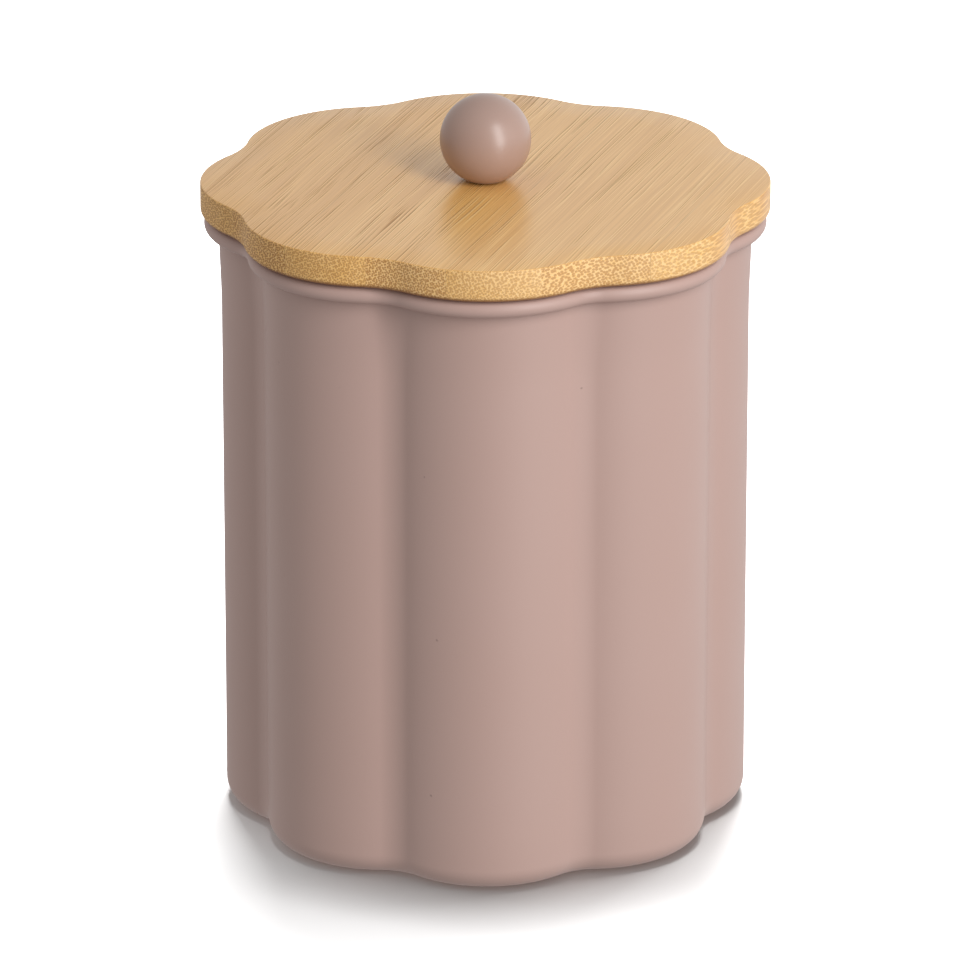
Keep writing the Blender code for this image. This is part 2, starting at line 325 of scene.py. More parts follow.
# %% Shape the lid board
BOARD_LOW, BOARD_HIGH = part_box("lid_board")
BOARD = (BOARD_HIGH.x, 29.3 * MM, 21.4 * MM)
BOTTOM_ROUND = 1.4 * MM
TOP_EASE = 0.3 * MM
BORE_RADIUS = 2.05 * MM
BOTTOM_RINGS = 12
TOP_RINGS = 5
FLAT_INSETS = np.array((1 / 3, 0.9))  # of a lobe's radius, where rings lie on the flat top


def quarter_round(start, stop, radius, steps):
    """Insets and heights of a round edge: the circle's centre is one radius in from both faces."""
    angle = np.linspace(start, stop, steps)
    return radius * (1 - np.cos(angle)), radius * np.sin(angle)


def add_board():
    """The lid board: its lower edge is a quarter round, its upper one a small one."""
    low_inset, low_height = quarter_round(-pi / 2, 0, BOTTOM_ROUND, BOTTOM_RINGS)
    top_inset, top_height = quarter_round(0, pi / 2, TOP_EASE, TOP_RINGS)
    inset = np.concatenate((low_inset, top_inset, BOARD[1] * FLAT_INSETS))
    height = np.concatenate((BOARD_LOW.z + BOTTOM_ROUND + low_height,
                             BOARD_HIGH.z - TOP_EASE + top_height,
                             np.full(len(FLAT_INSETS), BOARD_HIGH.z)))
    edge = at(lobed(*offset(BOARD, -inset)), height)
    bore = at(round_rings(lobed(*BOARD), np.full(2, BORE_RADIUS)), (BOARD_HIGH.z, BOARD_LOW.z))
    board = skin("lid_board_skin", np.vstack((edge, bore)))
    return stand_for(board, "lid", "lid_board")


board = add_board()

# %% Shape the plug
PLUG_LOW, PLUG_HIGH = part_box("lid_plug")
PLUG_CLEARANCE = 1.6 * MM  # from the plug to the inside of the can
PLUG_CHAMFER = 0.8 * MM
GROOVE_DEPTH = 2.4 * MM
GROOVE_HEIGHT = 3.6 * MM
GROOVE_SETBACK = 2.0 * MM
EDGE_EASE = 0.15 * MM  # how much sanding takes off the plug's corners
SINK_RADIUS = 3.8 * MM  # mouth of the countersink
SINK_EDGE = 0.82 * MM  # straight part of the countersink
PLUG = offset(wall_sizes(PLUG_LOW.z), -SHEET - PLUG_CLEARANCE)
MIDDLE_SHARE = 0.29  # 1 - sqrt(1/2): a round corner's middle, as seen from the corner


def eased(corners, radius):
    """A profile of (inset, height) corners with each corner cut twice, a fixed length from it."""
    corners = np.array(corners)
    ahead, behind = (np.roll(corners, step, axis=0) - corners for step in (-1, 1))
    ahead, behind = (side / np.linalg.norm(side, axis=1)[:, None] for side in (ahead, behind))
    middle = corners + (ahead + behind) * radius * MIDDLE_SHARE
    three = np.stack((corners + behind * radius, middle, corners + ahead * radius), axis=1)
    return three.reshape(-1, 2)


def add_plug():
    """The plug with its groove, chamfer and countersunk hole."""
    groove_top = GROOVE_SETBACK + GROOVE_HEIGHT
    thickness = PLUG_HIGH.z - PLUG_LOW.z
    corners = [(PLUG_CHAMFER, 0), (0, PLUG_CHAMFER), (0, GROOVE_SETBACK),
               (GROOVE_DEPTH, GROOVE_SETBACK), (GROOVE_DEPTH, groove_top), (0, groove_top),
               (0, thickness), (GROOVE_DEPTH * 2, thickness)]
    inset, height = eased(corners, EDGE_EASE)[1:-2].T
    edge = at(lobed(*offset(PLUG, -inset)), PLUG_LOW.z + height)
    radii = (BORE_RADIUS, BORE_RADIUS, SINK_RADIUS, SINK_RADIUS)
    heights = np.array((thickness, SINK_EDGE + SINK_RADIUS - BORE_RADIUS, SINK_EDGE, 0))
    bore = at(round_rings(lobed(*PLUG), radii), PLUG_LOW.z + heights)
    plug = skin("lid_plug_skin", np.vstack((edge, bore)))
    return stand_for(plug, "lid", "lid_plug")


plug = add_plug()

# %% [markdown]
# ## The silicone seal
#
# The seal is a moulded band that sits in the plug's groove, with two thin lips that reach out and
# slightly up, so that they bend against the wall as the lid goes in. Its section is a short list of
# corners. Moulded silicone has no sharp corner anywhere, so the section is softened by cutting each
# corner at a quarter of the way along both its sides, twice over. This is Chaikin's way of drawing
# a smooth curve.

# %% Mould the seal
SEAL_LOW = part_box("lid_seal")[0]
FIT = 0.3 * MM  # clear space round the band in its groove
LIP_THICKNESS = 0.7 * MM
LIP_RISE = 0.6 * MM


def corner_cut(section, times):
    """Replaces each corner of a closed section by two points, a quarter along each side from it."""
    for _ in range(times):
        following = np.roll(section, -1, axis=0)
        pairs = (0.75 * section + 0.25 * following, 0.25 * section + 0.75 * following)
        section = np.stack(pairs, axis=1).reshape(-1, 2)
    return section


def add_seal():
    """The band with its two lips, as (distance out from the plug's edge, height) carried round."""
    band = GROOVE_HEIGHT - 2 * FIT
    back, reach = FIT - GROOVE_DEPTH, PLUG_CLEARANCE - FIT
    section = [(back, 0), (0, 0)]
    for root in (band / 2 - LIP_THICKNESS, band - LIP_THICKNESS):
        section += [(0, root), (reach, root + LIP_RISE),
                    (reach, root + LIP_RISE + LIP_THICKNESS / 2), (0, root + LIP_THICKNESS)]
    section += [(back, band)]
    out, height = corner_cut(np.array(section), times=2).T
    rings = at(lobed(*offset(PLUG, out)), SEAL_LOW.z + height)
    return stand_for(skin("lid_seal_skin", rings), "lid", "lid_seal")


seal = add_seal()

# %% [markdown]
# ## The ball knob
#
# The knob is a wooden ball from a lathe, with a small flat where it stands and a blind hole for the
# screw. Blender's own sphere would need the flat and the hole cut into it afterwards. A turned
# profile has both from the start, and its rings lie where a lathe's tool marks would.

# %% Turn the knob
KNOB_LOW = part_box("knob")[0]
KNOB_RADIUS = 10.0 * MM
FLAT_RADIUS = 4.3 * MM
FLAT_EASE = 0.12 * MM  # the paint rounds the flat's edge by this much
KNOB_BORE_DEPTH = 10.3 * MM
KNOB_POINTS = 160
BALL_RINGS = 84


def add_knob():
    """From the end of the blind hole down, out over the flat, and up round the ball."""
    centre = sqrt(KNOB_RADIUS ** 2 - FLAT_RADIUS ** 2)
    up = np.linspace(-atan2(centre, FLAT_RADIUS + FLAT_EASE), pi / 2, BALL_RINGS)[:-1]
    radii = np.append([BORE_RADIUS, BORE_RADIUS, FLAT_RADIUS - FLAT_EASE], KNOB_RADIUS * np.cos(up))
    heights = np.append([KNOB_BORE_DEPTH, 0, 0], centre + KNOB_RADIUS * np.sin(up))
    circle = np.exp(2j * pi * np.arange(KNOB_POINTS) / KNOB_POINTS)[None]
    rings = at(round_rings(circle, radii), KNOB_LOW.z + heights)
    ends = [(0, 0, KNOB_LOW.z + height) for height in (KNOB_BORE_DEPTH, centre + KNOB_RADIUS)]
    return stand_for(skin("knob_skin", rings, ends), "lid", "knob")


knob = add_knob()

# %% [markdown]
# ## Building materials from nodes
#
# Each finish below is a small network of shader nodes. One function adds a node, sets its fields
# and gives each input either a plain value or the output that feeds it, so a network reads from top
# to bottom like a recipe. Colours are written as sRGB hex values, as a paint chart would give them,
# and turned to the linear values that shaders calculate with.

# %% Helpers for materials
FACTOR, VALUE_A, VALUE_B, COLOUR_A, COLOUR_B = 0, 2, 3, 6, 7  # a Mix node's inputs, by number,
COLOUR_OUT = 2  # since several share one name


def linear(hex_colour):
    """An sRGB hex colour as linear RGBA."""
    share = np.array([int(hex_colour[i:i + 2], 16) for i in (0, 2, 4)]) / 255
    rgb = np.where(share <= 0.04045, share / 12.92, ((share + 0.055) / 1.055) ** 2.4)
    return (*rgb.tolist(), 1.0)


def span(low, high, to_low=0.0, to_high=1.0):
    """The inputs of a Map Range node that takes low to to_low and high to to_high."""
    return {1: low, 2: high, 3: to_low, 4: to_high}


def feed(node, inputs):
    """Gives each input a plain value, or links it to a socket or to another node's first output."""
    for name, value in inputs.items():
        if isinstance(value, bpy.types.Node):
            value = value.outputs[0]
        if isinstance(value, bpy.types.NodeSocket):
            node.id_data.links.new(value, node.inputs[name])
        else:
            node.inputs[name].default_value = value
    return node


def add_node(tree, kind, inputs, **fields):
    """Adds a node, sets its fields and feeds its inputs."""
    node = tree.nodes.new(kind)
    for field, value in fields.items():
        setattr(node, field, value)
    return feed(node, inputs)


def new_material(name):
    """A material with its node tree, the Principled shader in it, and object coordinates."""
    material = bpy.data.materials.new(name)
    material.use_nodes = True
    tree = material.node_tree
    place = add_node(tree, "ShaderNodeTexCoord", {}).outputs["Object"]
    return material, tree, tree.nodes["Principled BSDF"], place


# %% [markdown]
# ## Satin powder coat
#
# Powder coat is sprayed on dry and baked. It flows into a film about 0.08 mm thick that hides the
# steel, rounds every edge a little and keeps a faint orange peel: low swells about a millimetre
# across. Its gloss is broad, since matting agents roughen it, so highlights have no edge. Here and
# there a speck of dust has been baked in. The eye gets an even colour, a soft sheen that follows
# the lobes, and a few specks that say it is real. The knob's lacquer is glossier, and its swells
# are longer and lower.

# %% Powder coat for the can, lacquer for the knob
PEEL_SIZE = 1.1  # millimetres from swell to swell
PEEL_HEIGHT = 0.004 * MM
LACQUER_PEEL_SIZE = 1.6
LACQUER_PEEL_HEIGHT = 0.003 * MM
CLOUD_SIZE = 30.0  # millimetres, for the faint change in film thickness
ROUGHNESS_SWING = 0.03  # either way, with that change
SPECK_SPACING = 14.0  # millimetres in space, so that few specks meet the wall
SPECK_SHARES = (0.012, 0.022)  # of that spacing, where a speck is solid and where it ends
SPECK_HEIGHT = 0.06 * MM
DUST = "6B5A54"
DUST_SHARE = 0.35  # how much of its colour shows through the paint
PAINT_IOR = 1.5


def satin_paint(name, colour, thin_colour, roughness, peel_size, peel_height):
    """Even paint: slow clouds of tone, orange peel as bump, and specks that are dark and raised."""
    material, tree, shader, place = new_material(name)
    millimetres = add_node(
        tree, "ShaderNodeVectorMath", {0: place, "Scale": 1 / MM}, operation='SCALE')
    clouds = add_node(
        tree, "ShaderNodeTexNoise", {"Vector": millimetres, "Scale": 1 / CLOUD_SIZE, "Detail": 2})
    film = add_node(tree, "ShaderNodeMix",
                    {FACTOR: clouds, COLOUR_A: linear(colour), COLOUR_B: linear(thin_colour)},
                    data_type='RGBA').outputs[COLOUR_OUT]
    specks = add_node(
        tree, "ShaderNodeTexVoronoi", {"Vector": millimetres, "Scale": 1 / SPECK_SPACING})
    speck = add_node(tree, "ShaderNodeMapRange", {"Value": specks, **span(*SPECK_SHARES, 1, 0)},
                     interpolation_type='SMOOTHSTEP')
    dust = add_node(tree, "ShaderNodeMath", {0: speck, 1: DUST_SHARE}, operation='MULTIPLY')
    base = add_node(tree, "ShaderNodeMix", {FACTOR: dust, COLOUR_A: film, COLOUR_B: linear(DUST)},
                    data_type='RGBA').outputs[COLOUR_OUT]
    peel = add_node(
        tree, "ShaderNodeTexNoise", {"Vector": millimetres, "Scale": 1 / peel_size, "Detail": 1})
    swells = add_node(tree, "ShaderNodeBump", {"Height": peel, "Distance": peel_height})
    raised = add_node(
        tree, "ShaderNodeBump", {"Height": speck, "Distance": SPECK_HEIGHT, "Normal": swells})
    ends = (roughness - ROUGHNESS_SWING, roughness + ROUGHNESS_SWING)
    rough = add_node(tree, "ShaderNodeMapRange", {"Value": clouds, **span(0, 1, *ends)})
    feed(shader, {"Base Color": base, "Roughness": rough, "Normal": raised, "IOR": PAINT_IOR})
    return material


can.data.materials.append(
    satin_paint("satin_powder_coat", "BD9F96", "BB9C92", 0.50, PEEL_SIZE, PEEL_HEIGHT))
knob.data.materials.append(
    satin_paint("satin_lacquer_on_wood", "AE9287", "AB8F84", 0.33,
                LACQUER_PEEL_SIZE, LACQUER_PEEL_HEIGHT))
print("painted:", [piece.name for piece in (can, knob)])

# %% [markdown]
# ## Laminated bamboo
#
# Bamboo has no rings. It is pale pith crossed by thousands of dark fibre bundles that all run along
# the stem. Split, planed and glued side by side, the strips make a board about 7 mm thick. So the
# same bundles show as dots where the edge cuts across them, as dashes where it cuts at a slant, and
# as hair-thin streaks on the top, which they only graze. A picture wrapped round the board could
# never agree with itself at the edge. A solid pattern does: cells under a millimetre apart across
# the grain and drawn out along it, read at each point of the surface, give all three at once.
#
# The coordinates are turned so that X runs along the grain, and counted in millimetres. Each strip
# reads the pattern at a place of its own, which breaks it at the glue lines. The strips at the
# board's right are inner wood, from inside the stem's wall, and those at its left outer wood, from
# under its skin, where bundles are finer and stand closer together.

# %% Where a point of the board lies in its strip
GRAIN_AZIMUTH = radians(70.5)  # from +X towards +Y
STRIP_WIDTH = 18.9  # millimetres, one planed strip, and so on below
STRIP_SHIFT = 11.7  # from the jar's axis to the joint at its right
INNER_TO_OUTER = span(-50, 50)  # across the board, counted from that joint
STRIP_JUMP = (90, 40, 60)  # how far apart two strips may read the pattern
DRIFT_LENGTH, DRIFT_WIDTH = 70, 12  # of the slow bends in the fibres
DRIFT_SWAY = (0, 1.2, 1.2)  # how far they bend


def drawn_out(tree, place, along, across, detail=1):
    """Noise with swells this long along the grain and this wide across it, in millimetres."""
    squeezed = add_node(tree, "ShaderNodeVectorMath",
                        {0: place, 1: (1 / along, 1 / across, 1 / across)}, operation='MULTIPLY')
    return add_node(tree, "ShaderNodeTexNoise", {"Vector": squeezed, "Scale": 1, "Detail": detail})


def find_strip(tree, place, underside):
    """Sockets that say where a point lies in the board, by name.

    own is the place in the grain's frame, moved to a part of the pattern that is the strip's own.
    height is above the underside, strips counts strip widths across the grain, luck holds three
    chances for each strip, and odd is 1 in every other strip. outer goes from 0 for the inner wood
    at the board's right to 1 for the outer wood at its left.
    """
    grain = add_node(tree, "ShaderNodeMapping",
                     {"Vector": place, "Rotation": (0, 0, -GRAIN_AZIMUTH), "Scale": (1 / MM,) * 3,
                      "Location": (0, STRIP_SHIFT, -underside / MM)})
    parts = add_node(tree, "ShaderNodeSeparateXYZ", {0: grain})
    across = parts.outputs["Y"]
    strips = add_node(tree, "ShaderNodeMath", {0: across, 1: STRIP_WIDTH}, operation='DIVIDE')
    number = add_node(tree, "ShaderNodeMath", {0: strips}, operation='FLOOR')
    chance = add_node(tree, "ShaderNodeTexWhiteNoise", {"W": number}, noise_dimensions='1D')
    drift = drawn_out(tree, grain, DRIFT_LENGTH, DRIFT_WIDTH)
    bent = add_node(tree, "ShaderNodeVectorMath",
                    {0: drift.outputs["Color"], 1: DRIFT_SWAY, 2: grain}, operation='MULTIPLY_ADD')
    own = add_node(tree, "ShaderNodeVectorMath",
                   {0: chance.outputs["Color"], 1: STRIP_JUMP, 2: bent}, operation='MULTIPLY_ADD')
    return SimpleNamespace(
        own=own, height=parts.outputs["Z"], strips=strips,
        luck=add_node(tree, "ShaderNodeSeparateColor", {0: chance.outputs["Color"]}).outputs,
        odd=add_node(tree, "ShaderNodeMath", {0: number, 1: 1}, operation='PINGPONG'),
        outer=add_node(tree, "ShaderNodeMapRange", {"Value": across, **INNER_TO_OUTER}))


# %% [markdown]
# ### Streaks on the flat
#
# A streak comes from noise drawn out to 45 mm, of which only the crests above a threshold are kept.
# For the dark veins the threshold itself drifts across the board, so that they crowd together in
# some bands and leave others bare, as bundles do. The pale sheaths are crests of the same noise,
# read a fifth of a millimetre to the side, so that veins and sheaths run together.

# %% Veins and sheaths
VEIN_LENGTH, VEIN_WIDTH = 45.0, 0.26
VEIN_START = span(0.45, 0.70, 0.68, 0.54)  # from crowding to where in the noise a vein begins
VEIN_EDGE = 0.09  # from there to where it is full
SHEATH_OFFSET = 0.20
SHEATH_CRESTS = (0.58, 0.67)  # of the noise, where a sheath begins and where it is full
BAND_LENGTH, BAND_WIDTH = 150.0, 5.0  # of the bands that veins crowd in
BAND_GAIN, OUTER_GAIN = 0.38, 0.40  # how much bands differ, and what outer wood adds
LEAST_CROWD = 0.28


def streaks(tree, strip):
    """How crowded the veins are, then veins, sheaths, each 0 to 1, and the noise they come from."""
    bands = drawn_out(tree, strip.own, BAND_LENGTH, BAND_WIDTH, detail=2)
    gain = add_node(tree, "ShaderNodeMath", {0: strip.outer, 1: OUTER_GAIN, 2: BAND_GAIN},
                    operation='MULTIPLY_ADD')
    crowd = add_node(
        tree, "ShaderNodeMath", {0: bands, 1: gain, 2: LEAST_CROWD}, operation='MULTIPLY_ADD')
    start = add_node(tree, "ShaderNodeMapRange", {"Value": crowd, **VEIN_START})
    full = add_node(tree, "ShaderNodeMath", {0: start, 1: VEIN_EDGE}, operation='ADD')
    beside = add_node(
        tree, "ShaderNodeVectorMath", {0: strip.own, 1: (0, SHEATH_OFFSET, 0)}, operation='ADD')
    found = []
    for place, low, high in ((strip.own, start, full), (beside, *SHEATH_CRESTS)):
        fibres = drawn_out(tree, place, VEIN_LENGTH, VEIN_WIDTH)
        found.append(add_node(tree, "ShaderNodeMapRange", {"Value": fibres, **span(low, high)}))
    return crowd, *found, fibres


# %% [markdown]
# ### Dots on the cut edge
#
# A dot is the middle of a Voronoi cell, drawn in the plane across the grain only, since a bundle
# runs the whole length of a strip. There are two sizes of cell, coarse for inner wood and fine for
# outer wood. The board goes from one to the other from right to left, and each strip does so by its
# height too, upwards or downwards as its stem happened to lie. The cells are turned a little, so
# that no row of dots follows the edge, and every other strip has fainter dots.

# %% Bundle ends
FINE_BUNDLES, COARSE_BUNDLES = 0.50, 0.63  # millimetres from dot to dot
SCATTER = 0.72  # of the cells: 0 would be a square grid, 1 quite random
CELL_TURN = 0.45  # radians
SIDE_WEIGHT = 1.4  # of the way across the board, against the way up it
FINENESS = span(0.75, 1.25)  # of both together, from coarse cells to fine ones
DOT_EDGE = (0.52, 0.34)  # of a cell, where a dot begins and where it is full
FAINTER = -0.5  # in every other strip, as a step on the scale of outer
DOT_STRENGTH = span(-0.3, 0.9, 0.46, 0.92)


def bundle_ends(tree, strip, thickness):
    """Dots, 0 to 1: the middles of cells, finer, closer and darker towards the stem's outside."""
    parts = add_node(tree, "ShaderNodeSeparateXYZ", {0: strip.own}).outputs
    section = add_node(tree, "ShaderNodeCombineXYZ", {0: parts["Y"], 1: parts["Z"]})
    section = add_node(tree, "ShaderNodeVectorRotate", {"Vector": section, "Angle": CELL_TURN},
                       rotation_type='Z_AXIS')
    fine, coarse = (
        add_node(tree, "ShaderNodeTexVoronoi",
                 {"Vector": section, "Scale": 1 / size, "Randomness": SCATTER},
                 voronoi_dimensions='2D')
        for size in (FINE_BUNDLES, COARSE_BUNDLES))
    depth = add_node(
        tree, "ShaderNodeMath", {0: strip.height, 1: thickness / MM}, operation='DIVIDE')
    flipped = add_node(tree, "ShaderNodeMath", {0: 1, 1: depth}, operation='SUBTRACT')
    turned = add_node(
        tree, "ShaderNodeMath", {0: strip.luck["Red"], 1: 0.5}, operation='GREATER_THAN')
    upwards = add_node(tree, "ShaderNodeMix", {FACTOR: turned, VALUE_A: flipped, VALUE_B: depth})
    outwards = add_node(tree, "ShaderNodeMath", {0: strip.outer, 1: SIDE_WEIGHT, 2: upwards},
                        operation='MULTIPLY_ADD')
    fineness = add_node(tree, "ShaderNodeMapRange", {"Value": outwards, **FINENESS})
    away = add_node(tree, "ShaderNodeMix", {FACTOR: fineness, VALUE_A: coarse, VALUE_B: fine})
    strength = add_node(tree, "ShaderNodeMath", {0: strip.odd, 1: FAINTER, 2: strip.outer},
                        operation='MULTIPLY_ADD')
    strength = add_node(tree, "ShaderNodeMapRange", {"Value": strength, **DOT_STRENGTH})
    return add_node(tree, "ShaderNodeMapRange", {"Value": away, **span(*DOT_EDGE, 0, strength)})


# %% [markdown]
# ### Pith, glue lines, varnish and painted shade
#
# A cut across the fibres drinks more varnish and looks deeper in colour than a cut along them, so
# the pattern needs to know how squarely the surface cuts the grain: that is the size of the dot
# product of the surface's normal with the grain's direction. The pith between the streaks has two
# tones, and the noise of the fibres takes it from one to the other in lines as fine as the streaks.
# Streaks stand out most near the joint left of the middle, as in the photograph. Varnish lies on
# the flats as a thin film, thinner over open veins, and the edge that drank it stays duller. The
# lowest millimetre of the edge is darkened with painted shade, for the shadow under the lid's rim.

# %% Bamboo as a solid pattern
CUT_SHOWS = (0.05, 0.30)  # size of the normal's part along the grain
FLAT_SHOWS = (0.5, 0.9)  # size of the normal's upright part
LUCK_SHARE = 0.45  # how much one strip may be deeper in tone than another
FIBRE_SHARE = -2.6  # how the noise of the fibres takes it back
TONES = span(-1.0, -0.1)
CUT_TONES = (0.48, -0.21)  # added to the tone of a cut: towards the skin, and everywhere
BOLD_STRIP = 1.0  # where streaks stand out most, counted as in strips
BOLDNESS = span(0, 2.2, 0.80, 0.54)  # of streaks, by the distance from there
ON_CUT = 0.25  # of streaks, what the cut edge shows
VEIN_SHARE = 0.85
DOTS_BY_LEVEL = span(0, 1, 0.90, 0.10)  # from the cut edge to the flats
JOINT = span(0, 0.16 / STRIP_WIDTH, 0.25, 0)  # a glue line 0.16 mm wide, by the distance from it
PALE_SHEATH = "FFD792"
GLUE_LINE = "7E5528"
LOWER_EDGE_SHADE_COLOUR = "A07C60"  # painted shade: the lower edge darkened where it faces down over the rim
LOWER_EDGE_SHADE = span(1.2, 0.3, 0, 0.85)  # how much painted shade, by the height above the underside
PORE_DEPTH = 0.004 * MM
VEIN_PORES = 0.5  # depth of a vein, beside a dot
DULL_CUT = 0.5  # dullness of the cut edge, beside a vein
DULLING = 0.40  # added to the roughness there
BARE_VEINS = -0.6  # how a vein thins the film
VARNISH_FILM = 0.40  # on the flats
FILM_ROUGHNESS = 0.30
WOOD_IOR = 1.52


def facing(tree, axis, low, high):
    """0 to 1 as the size of the normal's part along the axis goes from low to high."""
    normal = add_node(tree, "ShaderNodeTexCoord", {}).outputs["Normal"]
    dot = add_node(tree, "ShaderNodeVectorMath", {0: normal, 1: axis}, operation='DOT_PRODUCT')
    size = add_node(tree, "ShaderNodeMath", {0: dot.outputs["Value"]}, operation='ABSOLUTE')
    return add_node(tree, "ShaderNodeMapRange", {"Value": size, **span(low, high)})


def pith(tree, strip, crowd, fibres, flat_tones, cut_tones):
    """The wood between the streaks, as it looks on the flat and on the cut edge."""
    tone = add_node(tree, "ShaderNodeMath", {0: strip.luck["Green"], 1: LUCK_SHARE, 2: crowd},
                    operation='MULTIPLY_ADD')
    tone = add_node(
        tree, "ShaderNodeMath", {0: fibres, 1: FIBRE_SHARE, 2: tone}, operation='MULTIPLY_ADD')
    tone = add_node(tree, "ShaderNodeMapRange", {"Value": tone, **TONES})
    skinwards, everywhere = CUT_TONES
    deeper = add_node(tree, "ShaderNodeMath", {0: strip.outer, 1: skinwards, 2: everywhere},
                      operation='MULTIPLY_ADD')
    deeper = add_node(tree, "ShaderNodeMath", {0: tone, 1: deeper}, operation='ADD', use_clamp=True)
    return (
        add_node(tree, "ShaderNodeMix",
                 {FACTOR: share, COLOUR_A: linear(pale), COLOUR_B: linear(deep)},
                 data_type='RGBA').outputs[COLOUR_OUT]
        for share, (pale, deep) in ((tone, flat_tones), (deeper, cut_tones)))


def boldness(tree, strip, level):
    """How strongly streaks show: most near one joint on the flat, and little on the cut edge."""
    away = add_node(tree, "ShaderNodeMath", {0: strip.strips, 1: BOLD_STRIP}, operation='SUBTRACT')
    away = add_node(tree, "ShaderNodeMath", {0: away}, operation='ABSOLUTE')
    bold = add_node(tree, "ShaderNodeMapRange", {"Value": away, **BOLDNESS})
    return add_node(tree, "ShaderNodeMapRange", {"Value": level, **span(0, 1, ON_CUT, bold)})


def bamboo(name, underside, thickness, flat_tones, cut_tones, vein_colour, dot_colour, roughness):
    """Varnished bamboo: two tones of pith, veins and sheaths on the flat, dots on the cut edge."""
    material, tree, shader, place = new_material(name)
    strip = find_strip(tree, place, underside)
    square = facing(tree, (cos(GRAIN_AZIMUTH), sin(GRAIN_AZIMUTH), 0), *CUT_SHOWS)
    level = facing(tree, (0, 0, 1), *FLAT_SHOWS)
    side = add_node(
        tree, "ShaderNodeMath", {0: square, 1: level}, operation='SUBTRACT', use_clamp=True)
    crowd, vein, sheath, fibres = streaks(tree, strip)
    flat, cut = pith(tree, strip, crowd, fibres, flat_tones, cut_tones)

    bold = boldness(tree, strip, level)
    on_cut = add_node(tree, "ShaderNodeMapRange", {"Value": level, **DOTS_BY_LEVEL})
    dots = bundle_ends(tree, strip, thickness)
    pale, dark, spot = (
        add_node(tree, "ShaderNodeMath", {0: mark, 1: shown}, operation='MULTIPLY')
        for mark, shown in ((sheath, bold), (vein, bold), (dots, on_cut)))
    dark = add_node(tree, "ShaderNodeMath", {0: dark, 1: VEIN_SHARE}, operation='MULTIPLY')
    along = add_node(tree, "ShaderNodeMath", {0: strip.strips, 1: 1}, operation='PINGPONG')
    joint, edge_shade = (
        add_node(tree, "ShaderNodeMapRange", {"Value": value, **limits},
                 interpolation_type='SMOOTHSTEP')
        for value, limits in ((along, JOINT), (strip.height, LOWER_EDGE_SHADE)))
    wood = flat
    # The last step multiplies painted shade into the lowest millimetre of the edge.
    for share, tint, blend in (
            (side, cut, 'MIX'), (pale, linear(PALE_SHEATH), 'MIX'),
            (dark, linear(vein_colour), 'MIX'), (spot, linear(dot_colour), 'MIX'),
            (joint, linear(GLUE_LINE), 'MIX'), (edge_shade, linear(LOWER_EDGE_SHADE_COLOUR), 'MULTIPLY')):
        wood = add_node(tree, "ShaderNodeMix", {FACTOR: share, COLOUR_A: wood, COLOUR_B: tint},
                        data_type='RGBA', blend_type=blend).outputs[COLOUR_OUT]

    hollow = add_node(tree, "ShaderNodeMath", {0: spot, 1: joint}, operation='ADD')
    hollow = add_node(
        tree, "ShaderNodeMath", {0: dark, 1: VEIN_PORES, 2: hollow}, operation='MULTIPLY_ADD')
    pores = add_node(
        tree, "ShaderNodeBump", {"Height": hollow, "Distance": PORE_DEPTH}, invert=True)
    dull = add_node(
        tree, "ShaderNodeMath", {0: side, 1: DULL_CUT, 2: dark}, operation='MULTIPLY_ADD')
    rough = add_node(
        tree, "ShaderNodeMapRange", {"Value": dull, **span(0, 1, roughness, roughness + DULLING)})
    film = add_node(tree, "ShaderNodeMath", {0: vein, 1: BARE_VEINS, 2: level},
                    operation='MULTIPLY_ADD', use_clamp=True)
    film = add_node(tree, "ShaderNodeMath", {0: film, 1: VARNISH_FILM}, operation='MULTIPLY')
    feed(shader, {"Base Color": wood, "Roughness": rough, "Normal": pores, "IOR": WOOD_IOR,
                  "Coat Weight": film, "Coat Roughness": FILM_ROUGHNESS})
    return material


board.data.materials.append(
    bamboo("varnished_bamboo", BOARD_LOW.z, BOARD_HIGH.z - BOARD_LOW.z,
           ("F0BC70", "DEA75A"), ("F8D096", "F0BE70"), "884A14", "A86A2C", 0.34))
plug.data.materials.append(
    bamboo("oiled_bamboo", PLUG_LOW.z, PLUG_HIGH.z - PLUG_LOW.z,
           ("D8AA68", "C8954E"), ("E0B474", "CF9F5A"), "7A4C20", "925F2C", 0.48))
print("nodes in the board's network:", len(board.data.materials[0].node_tree.nodes))

# %% [markdown]
# ## Silicone and zinc
#
# The seal is food-grade silicone rubber: milky, a little see-through at its thin lips, and soft in
# its gloss because the mould is blasted. Light that enters it comes out again nearby, which is
# subsurface scattering, with a reach of about a millimetre. The screw is steel with a thin layer of
# bright zinc, which is metal throughout: bluish, with the fine rings of its turned head
# drawn coarser here than they are so that they show.

# %% Silicone for the seal
BLAST_GRAIN = 0.4 * MM  # grain that a blasted mould leaves
BLAST_DEPTH = 0.004 * MM
SCATTER_REACH = 1.0 * MM


def silicone():
    """Milky silicone rubber with the matt grain of a blasted mould."""
    material, tree, shader, place = new_material("moulded_silicone")
    matt = add_node(
        tree, "ShaderNodeTexNoise", {"Vector": place, "Scale": 1 / BLAST_GRAIN, "Detail": 2})
    milk = add_node(tree, "ShaderNodeMix",
                    {FACTOR: matt, COLOUR_A: linear("E4E1DA"), COLOUR_B: linear("EEEBE5")},
                    data_type='RGBA').outputs[COLOUR_OUT]
    grain = add_node(tree, "ShaderNodeBump", {"Height": matt, "Distance": BLAST_DEPTH})
    rough = add_node(tree, "ShaderNodeMapRange", {"Value": matt, **span(0, 1, 0.42, 0.54)})
    feed(shader, {"Base Color": milk, "Roughness": rough, "Normal": grain, "IOR": 1.41,
                  "Subsurface Weight": 0.35, "Subsurface Radius": (1.0, 0.9, 0.8),
                  "Subsurface Scale": SCATTER_REACH})
    return material


seal.data.materials.append(silicone())

# %% Zinc plate for the screw
TURNING_PITCH = 0.25 * MM  # from ring to ring
RADIANS_PER_UNIT = 20  # what a Wave texture of scale 1 turns through in one unit
BLOOM_SIZE = 2.5 * MM  # of the clouds in the zinc
RING_DEPTH = 0.004 * MM


